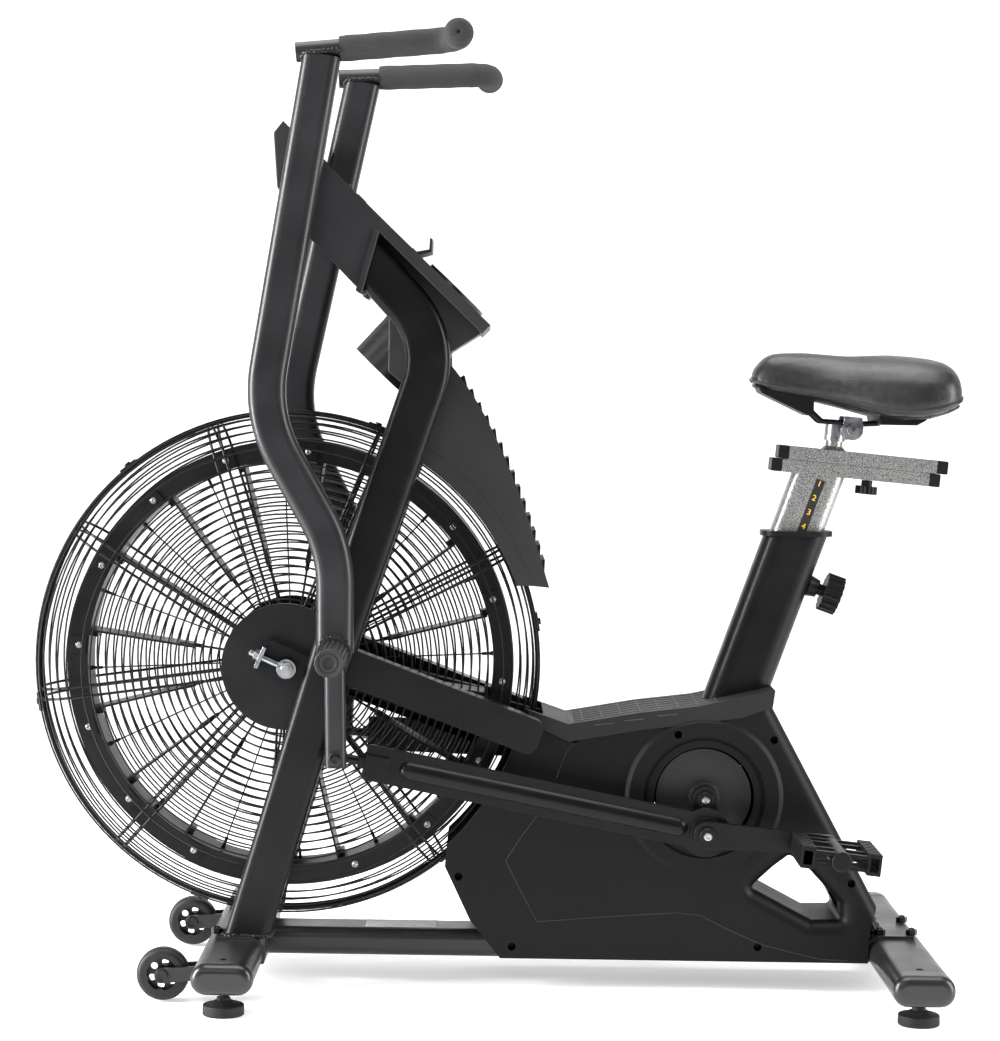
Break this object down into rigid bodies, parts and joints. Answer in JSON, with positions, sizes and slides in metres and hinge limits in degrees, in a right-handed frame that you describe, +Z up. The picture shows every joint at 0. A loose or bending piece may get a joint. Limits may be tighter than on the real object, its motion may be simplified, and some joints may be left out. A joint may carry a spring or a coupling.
{
  "type": "air bike",
  "caption": "Upright exercise bike with a caged fan wheel, swinging push-pull handles linked to the cranks, an adjustable saddle and a console with a cup.",
  "frame": {"origin": "on the floor under the centre of the bounding box", "axes": "+X to the rear (saddle end), +Y to the rider's right, +Z up"},
  "size_m": [1.262, 0.6, 1.2934],
  "materials": {
    "frame_paint": "satin black powder coat",
    "rod_paint": "satin black enamel over pressed plate",
    "grille_wire": "black coated wire",
    "fan_paint": "black coated sheet steel",
    "bearing_steel": "turned steel",
    "zinc": "bright zinc plate",
    "seat_steel": "silver speckled coat",
    "cover_plastic": "fine-grained black moulding",
    "trim_plastic": "smooth black moulding",
    "pedal_plastic": "black resin",
    "display": "dark glossy window",
    "rubber": "ribbed black rubber",
    "wheel_tyre": "hard black rolling rubber",
    "foam": "fine closed-cell foam",
    "saddle_skin": "fine-grained black vinyl"
  },
  "bodies": {
    "frame": {"axle_brackets": "frame_paint", "base_beam": "frame_paint", "belt_guard": "cover_plastic", "bottle_cup": "cover_plastic", "console_display": "display", "console_housing": "cover_plastic", "crank_housing": "frame_paint", "drive_belt": "rubber", "fan_axle": "zinc", "foot_pegs": "rubber", "frame_braces": "frame_paint", "frame_fasteners": "zinc", "frame_stays": "frame_paint", "front_stabiliser": "frame_paint", "left_cover": "cover_plastic", "left_grille": "grille_wire", "left_main_tube": "frame_paint", "phone_clip": "cover_plastic", "pivot_axles": "zinc", "rear_stabiliser": "frame_paint", "rear_strut": "frame_paint", "right_cover": "cover_plastic", "right_grille": "grille_wire", "right_main_tube": "frame_paint", "seat_collar": "trim_plastic", "seat_tube": "frame_paint", "stabiliser_end_caps": "trim_plastic", "tension_bolts": "zinc", "tread_cover": "cover_plastic", "wind_shroud": "cover_plastic"},
    "fan": {"fan_rim": "fan_paint", "fan_blades": "fan_paint", "fan_hub": "bearing_steel"},
    "crank": {"crank_axle": "zinc", "drive_pulley": "bearing_steel", "left_crank": "frame_paint", "right_crank": "frame_paint", "crank_discs": "cover_plastic"},
    "left_rod": {"left_link_rod": "rod_paint"},
    "right_rod": {"right_link_rod": "rod_paint"},
    "left_pedal": {"left_pedal": "pedal_plastic"},
    "right_pedal": {"right_pedal": "pedal_plastic"},
    "left_handle": {"left_handle": "frame_paint", "left_grip": "foam"},
    "right_handle": {"right_handle": "frame_paint", "right_grip": "foam"},
    "seat": {"seat_post": "seat_steel"},
    "height_knob": {"height_knob": "trim_plastic"},
    "seat_slider": {"seat_slider": "seat_steel", "saddle_clamp": "zinc"},
    "fore_aft_knob": {"fore_aft_knob": "trim_plastic"},
    "saddle": {"clamp_plates": "zinc", "saddle_base": "cover_plastic", "saddle_cushion": "saddle_skin"},
    "left_wheel": {"left_wheel": "wheel_tyre"},
    "right_wheel": {"right_wheel": "wheel_tyre"},
    "front_left_foot": {"front_left_foot": "rubber"},
    "front_right_foot": {"front_right_foot": "rubber"},
    "rear_left_foot": {"rear_left_foot": "rubber"},
    "rear_right_foot": {"rear_right_foot": "rubber"}
  },
  "joints": [
    {"name": "crank_spin", "type": "hinge", "parent": "frame", "child": "crank", "pos_m": [0.29, 0, 0.267], "axis": [0, 1, 0], "continuous": true},
    {"name": "fan_spin", "type": "hinge", "parent": "frame", "child": "fan", "pos_m": [-0.277, 0, 0.437], "axis": [0, 1, 0], "continuous": true},
    {"name": "left_rod_swing", "type": "hinge", "parent": "crank", "child": "left_rod", "pos_m": [0.289, -0.13, 0.22701], "axis": [0, 1, 0], "continuous": true},
    {"name": "right_rod_swing", "type": "hinge", "parent": "crank", "child": "right_rod", "pos_m": [0.291, 0.13, 0.30699], "axis": [0, 1, 0], "continuous": true},
    {"name": "left_pedal_spin", "type": "hinge", "parent": "crank", "child": "left_pedal", "pos_m": [0.451, -0.225, 0.217], "axis": [0, 1, 0], "continuous": true},
    {"name": "right_pedal_spin", "type": "hinge", "parent": "crank", "child": "right_pedal", "pos_m": [0.129, 0.225, 0.317], "axis": [0, 1, 0], "continuous": true},
    {"name": "left_handle_swing", "type": "hinge", "parent": "frame", "child": "left_handle", "pos_m": [-0.21, -0.15, 0.463], "axis": [0, 1, 0], "range_deg": [-13.5, 16]},
    {"name": "right_handle_swing", "type": "hinge", "parent": "frame", "child": "right_handle", "pos_m": [-0.21, 0.15, 0.463], "axis": [0, 1, 0], "range_deg": [-16, 13.5]},
    {"name": "seat_height", "type": "slide", "parent": "frame", "child": "seat", "axis": [0.3338, 0, 0.9426], "range_m": [-0.041, 0.082]},
    {"name": "height_knob_pull", "type": "slide", "parent": "frame", "child": "height_knob", "axis": [0.9426, 0, -0.3338], "range_m": [0, 0.012], "stiffness_N_per_m": 500, "springref_m": -0.01},
    {"name": "saddle_fore_aft", "type": "slide", "parent": "seat", "child": "seat_slider", "axis": [0.9963, 0, -0.0854], "range_m": [-0.012, 0.04]},
    {"name": "fore_aft_knob_turn", "type": "hinge", "parent": "seat_slider", "child": "fore_aft_knob", "pos_m": [0.51495, 0, 0.71722], "axis": [0.0854, 0, 0.9963], "range_deg": [0, 270]},
    {"name": "saddle_tilt", "type": "hinge", "parent": "seat_slider", "child": "saddle", "pos_m": [0.488, 0, 0.7685], "axis": [0, 1, 0], "range_deg": [-10, 10]},
    {"name": "left_wheel_spin", "type": "hinge", "parent": "frame", "child": "left_wheel", "pos_m": [-0.43, -0.178, 0.037], "axis": [0, 1, 0], "continuous": true},
    {"name": "right_wheel_spin", "type": "hinge", "parent": "frame", "child": "right_wheel", "pos_m": [-0.43, 0.178, 0.037], "axis": [0, 1, 0], "continuous": true},
    {"name": "front_left_levelling", "type": "slide", "parent": "frame", "child": "front_left_foot", "axis": [0, 0, 1], "range_m": [-0.006, 0.008]},
    {"name": "front_right_levelling", "type": "slide", "parent": "frame", "child": "front_right_foot", "axis": [0, 0, 1], "range_m": [-0.006, 0.008]},
    {"name": "rear_left_levelling", "type": "slide", "parent": "frame", "child": "rear_left_foot", "axis": [0, 0, 1], "range_m": [-0.006, 0.008]},
    {"name": "rear_right_levelling", "type": "slide", "parent": "frame", "child": "rear_right_foot", "axis": [0, 0, 1], "range_m": [-0.006, 0.008]}
  ],
  "couplings": [
    {"joint": "fan_spin", "follows": "crank_spin", "ratio": 3.5},
    {"joint": "left_rod_swing", "follows": "crank_spin", "ratio": -1},
    {"joint": "right_rod_swing", "follows": "crank_spin", "ratio": -1},
    {"joint": "right_handle_swing", "follows": "left_handle_swing", "ratio": -1}
  ]
}
